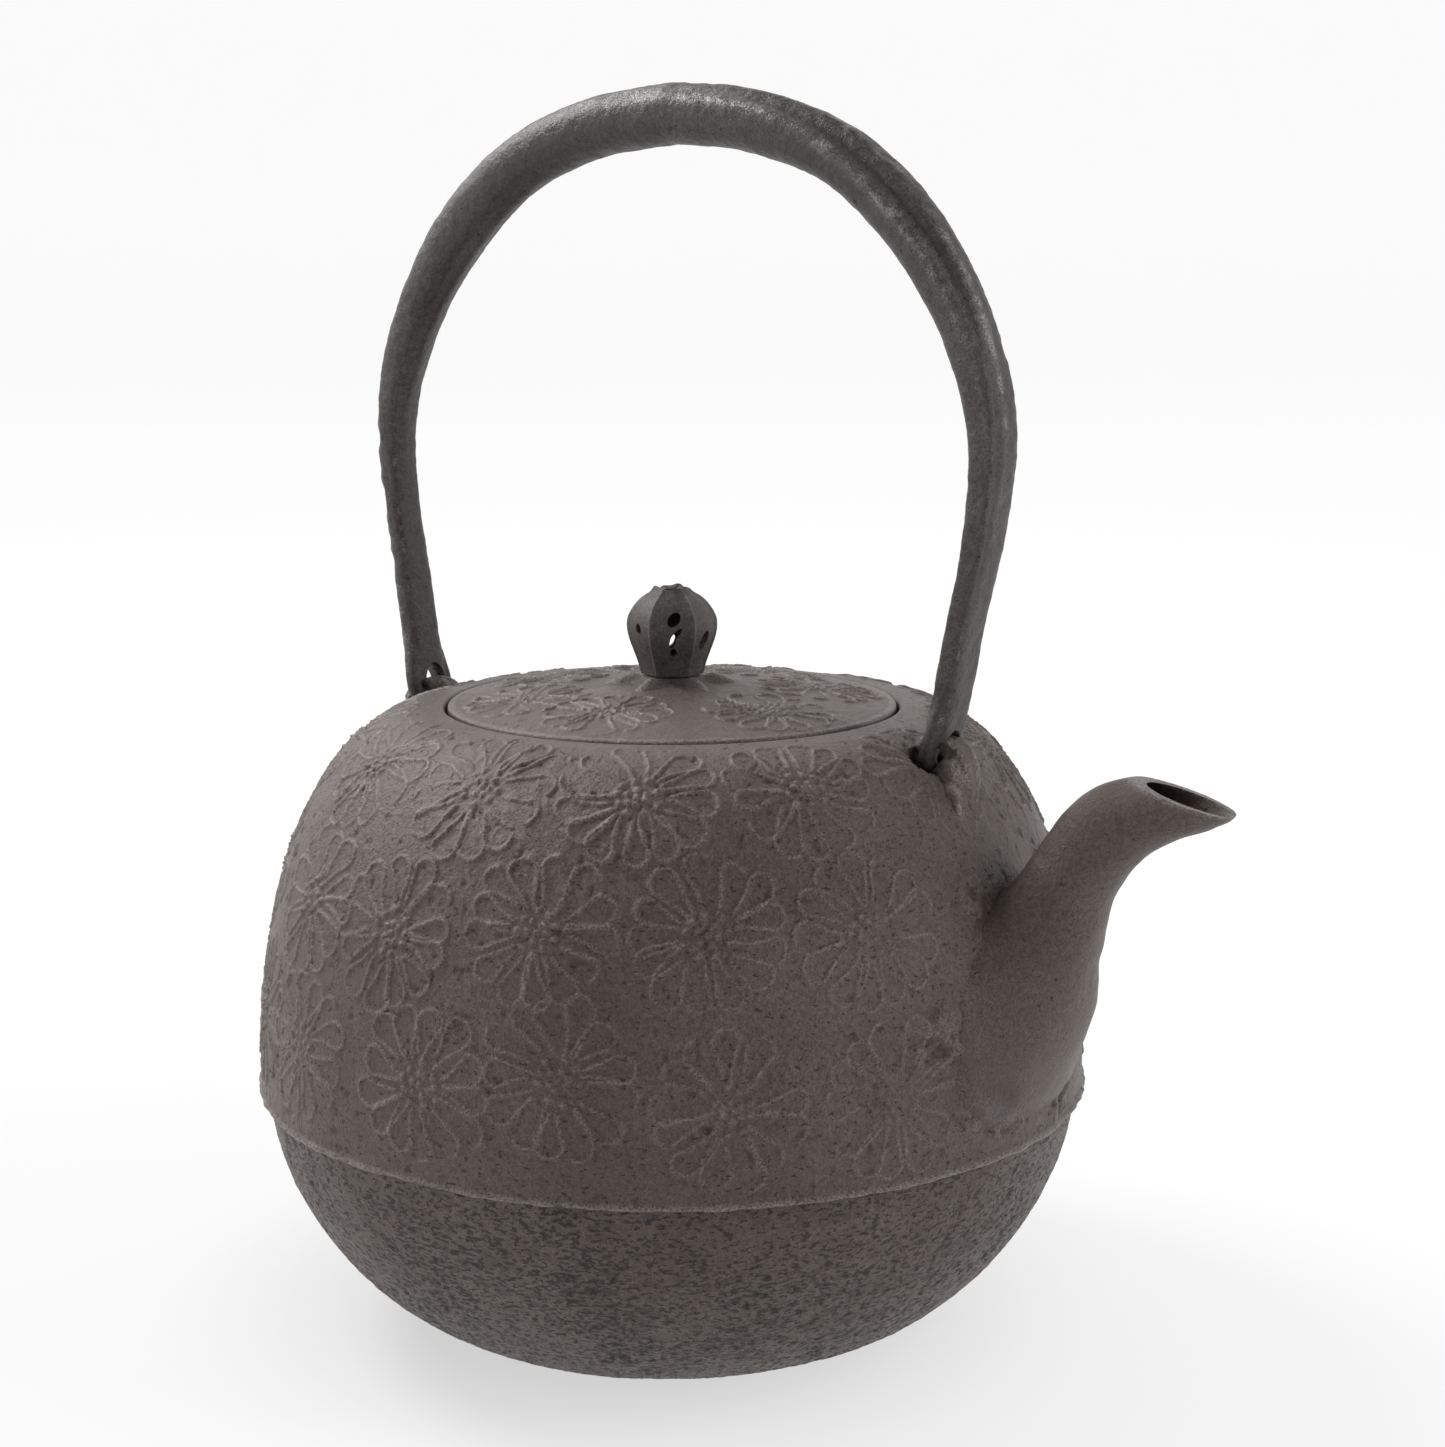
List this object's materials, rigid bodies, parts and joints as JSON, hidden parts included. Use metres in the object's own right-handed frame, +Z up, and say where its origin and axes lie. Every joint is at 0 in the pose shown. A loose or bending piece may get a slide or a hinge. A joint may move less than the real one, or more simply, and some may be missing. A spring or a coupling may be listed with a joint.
{
  "type": "cast-iron kettle with infuser basket",
  "caption": "Round cast-iron kettle with flower relief, S-shaped spout, arched hollow handle, flush lid with pierced knob, and a steel infuser basket inside.",
  "frame": {"origin": "centre of the flat foot, on the kettle's axis", "axes": "+Z up along the kettle's axis, +X towards the spout, the handle's arch lies in the XZ plane"},
  "size_m": [0.1958, 0.16, 0.2358],
  "materials": {
    "iron_body": "brown-black cast iron, dry satin, finely pitted",
    "iron_handle": "neutral dark forged iron, hammered, satin",
    "iron_knob": "dark cast iron, satin",
    "stainless": "bright stainless sheet and woven wire"
  },
  "bodies": {
    "kettle": {"pot_body": "iron_body", "spout": "iron_body", "front_lug": "iron_body", "rear_lug": "iron_body"},
    "handle": {"handle": "iron_handle"},
    "lid": {"lid": "iron_body", "knob_seat": "iron_body", "knob_rivet": "iron_knob", "rivet_washer": "iron_knob"},
    "knob": {"knob": "iron_knob"},
    "basket": {"basket_rim": "stainless", "basket_wall": "stainless", "basket_bottom": "stainless", "basket_foot_ring": "stainless"}
  },
  "joints": [
    {"name": "handle_rock", "type": "hinge", "parent": "kettle", "child": "handle", "pos_m": [-0.001, 0, 0.1155], "axis": [1, 0, 0], "range_deg": [-5, 5]},
    {"name": "lid_lift", "type": "slide", "parent": "kettle", "child": "lid", "axis": [0, 0, 1], "range_m": [0, 0.075]},
    {"name": "basket_lift", "type": "slide", "parent": "kettle", "child": "basket", "axis": [0, 0, 1], "range_m": [0, 0.05]},
    {"name": "knob_turn", "type": "hinge", "parent": "lid", "child": "knob", "pos_m": [0, 0, 0.1255], "axis": [0, 0, 1], "continuous": true}
  ],
  "couplings": [
    {"joint": "basket_lift", "follows": "lid_lift", "ratio": 0.66}
  ]
}
